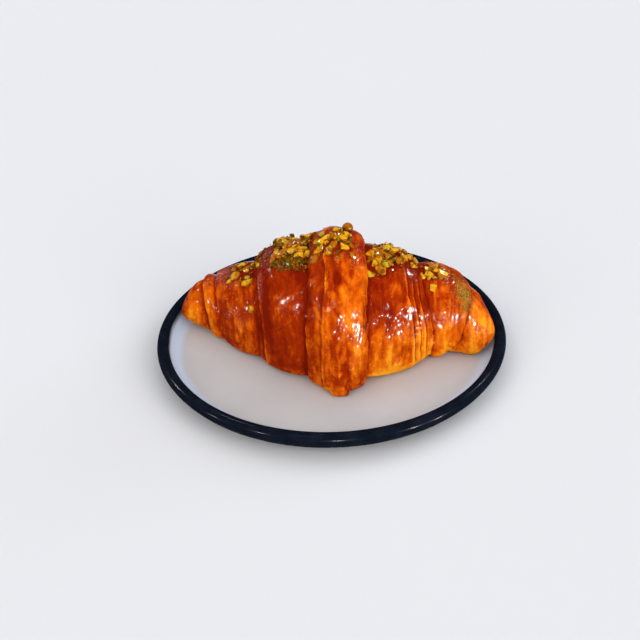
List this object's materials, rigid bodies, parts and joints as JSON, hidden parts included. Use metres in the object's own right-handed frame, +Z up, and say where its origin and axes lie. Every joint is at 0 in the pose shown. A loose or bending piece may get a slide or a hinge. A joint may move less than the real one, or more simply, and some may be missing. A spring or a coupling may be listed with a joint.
{
  "type": "plate of pistachio croissant",
  "caption": "Glazed butter croissant topped with chopped pistachio along its ridge, resting on a small round rimmed plate.",
  "frame": {"origin": "middle of the plate's foot ring, on the table", "axes": "+Z up; +X along the croissant, to the right as seen from its full front; -Y towards the viewer"},
  "size_m": [0.205, 0.205, 0.0848],
  "materials": {
    "plate_glaze": "warm grey gloss glaze inside, near-black glaze on the rim and outside",
    "crust": "deep golden to red-brown baked crust under a glossy syrup glaze",
    "pistachio": "chopped nut, yellow to olive green, slightly glazed"
  },
  "bodies": {
    "root": {"plate": "plate_glaze", "croissant": "crust"}
  },
  "joints": []
}
